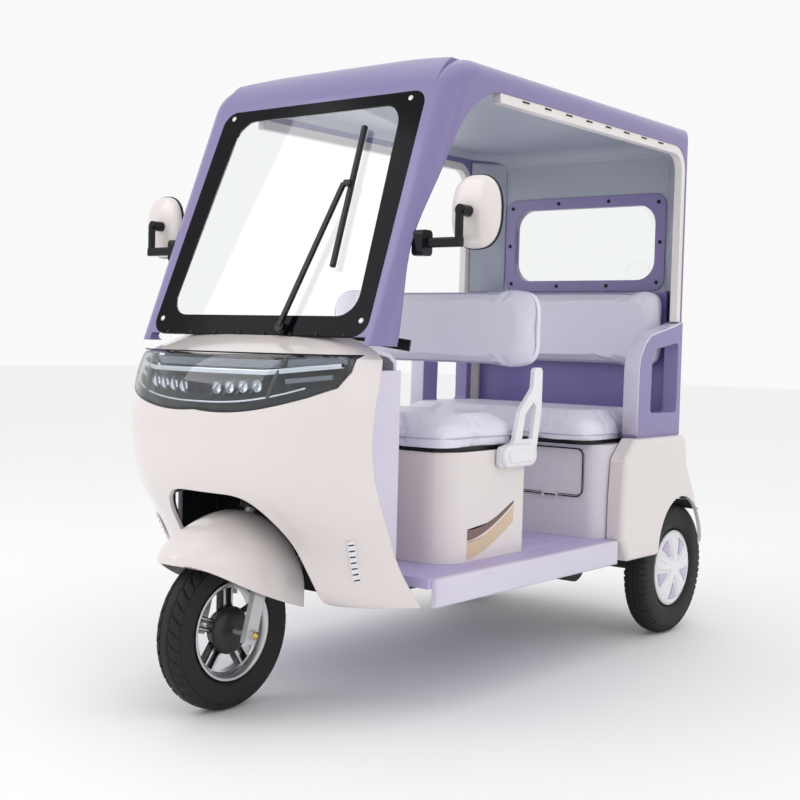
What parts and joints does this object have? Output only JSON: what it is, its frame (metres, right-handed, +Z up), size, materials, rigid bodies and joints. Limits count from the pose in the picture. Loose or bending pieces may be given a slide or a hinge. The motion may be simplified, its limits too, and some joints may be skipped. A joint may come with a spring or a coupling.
{
  "type": "enclosed electric passenger tricycle",
  "caption": "Three-wheeled electric passenger runabout: one steered front wheel, moulded cab with open sides, driver seat and rear bench.",
  "frame": {"origin": "on the ground under the middle of the whole vehicle's box", "axes": "+X to the vehicle's left, -Y forward, +Y to the rear, +Z up"},
  "size_m": [1.318, 2.168, 1.7913],
  "materials": {
    "shell_cream": "glossy",
    "cab_purple": "satin",
    "roof_purple": "satin",
    "seat_lavender": "satin",
    "lavender_plastic": "satin",
    "floor_purple": "matte",
    "black_plastic": "matte",
    "trim_cream": "satin",
    "white_plastic": "glossy",
    "screen_glass": "glossy",
    "lamp_glass": "glossy",
    "tail_red": "glossy",
    "frame_black": "satin",
    "fork_silver": "satin",
    "rim_silver": "satin",
    "tyre_rubber": "matte",
    "motor_metal": "matte",
    "battery_case": "matte",
    "lamp_body": "glossy"
  },
  "bodies": {
    "body": {"front_cowl": "shell_cream", "headlamp_lens": "lamp_glass", "headlamp_housing": "lamp_body", "cab_frame": "cab_purple", "windscreen_border": "black_plastic", "windscreen_glass": "screen_glass", "roof_panel": "roof_purple", "rear_shell": "cab_purple", "rear_window_glass": "screen_glass", "rear_window_bezel": "cab_purple", "door_trim_left": "trim_cream", "door_trim_right": "trim_cream", "wiper": "black_plastic", "mirror_arm_left": "black_plastic", "mirror_arm_right": "black_plastic", "mirror_head_left": "shell_cream", "mirror_head_right": "shell_cream", "floor_pan": "floor_purple", "sill_left": "lavender_plastic", "sill_right": "lavender_plastic", "chassis_frame": "frame_black", "leg_shield": "lavender_plastic", "dash_panel": "lavender_plastic", "driver_seat_box": "shell_cream", "battery_pack": "battery_case", "rear_seat_base": "lavender_plastic", "bench_cushion": "seat_lavender", "bench_backrest": "seat_lavender", "bulkhead": "cab_purple", "armrest_left": "cab_purple", "armrest_right": "cab_purple", "rear_fender_left": "shell_cream", "rear_fender_right": "shell_cream", "tail_panel": "shell_cream", "tail_lamps": "tail_red", "rear_bumper": "black_plastic", "plate_bracket": "black_plastic", "rear_axle": "frame_black", "drive_motor": "motor_metal", "leaf_springs": "frame_black"},
    "steering": {"front_fork": "fork_silver", "handlebar": "black_plastic", "front_fender": "shell_cream"},
    "front_wheel": {"front_tyre": "tyre_rubber", "front_rim": "rim_silver"},
    "rear_wheel_left": {"rear_tyre_left": "tyre_rubber", "rear_rim_left": "rim_silver", "wheel_cover_left": "white_plastic"},
    "rear_wheel_right": {"rear_tyre_right": "tyre_rubber", "rear_rim_right": "rim_silver", "wheel_cover_right": "white_plastic"},
    "under_seat_door": {"under_seat_door": "lavender_plastic"},
    "driver_seat_lid": {"driver_seat_pan": "black_plastic", "driver_cushion": "seat_lavender"},
    "driver_backrest": {"driver_backrest": "seat_lavender", "backrest_brackets": "white_plastic"}
  },
  "joints": [
    {"name": "steering_turn", "type": "hinge", "parent": "body", "child": "steering", "pos_m": [0, -0.76075, 0.5975], "axis": [0, 0.2756, 0.9613], "range_deg": [-35, 35]},
    {"name": "front_wheel_roll", "type": "hinge", "parent": "steering", "child": "front_wheel", "pos_m": [0, -0.871, 0.213], "axis": [1, 0, 0], "continuous": true},
    {"name": "rear_wheel_left_roll", "type": "hinge", "parent": "body", "child": "rear_wheel_left", "pos_m": [0.424, 0.844, 0.228], "axis": [1, 0, 0], "continuous": true},
    {"name": "rear_wheel_right_roll", "type": "hinge", "parent": "body", "child": "rear_wheel_right", "pos_m": [-0.424, 0.844, 0.228], "axis": [1, 0, 0], "continuous": true},
    {"name": "under_seat_door_hinge", "type": "hinge", "parent": "body", "child": "under_seat_door", "pos_m": [0, 0.358, 0.511], "axis": [1, 0, 0], "range_deg": [0, 95]},
    {"name": "driver_seat_lid_hinge", "type": "hinge", "parent": "body", "child": "driver_seat_lid", "pos_m": [0, -0.013, 0.735], "axis": [-1, 0, 0], "range_deg": [0, 65]},
    {"name": "driver_backrest_pivot", "type": "hinge", "parent": "body", "child": "driver_backrest", "pos_m": [0, -0.071, 0.662], "axis": [-1, 0, 0], "range_deg": [-50, 0]}
  ]
}
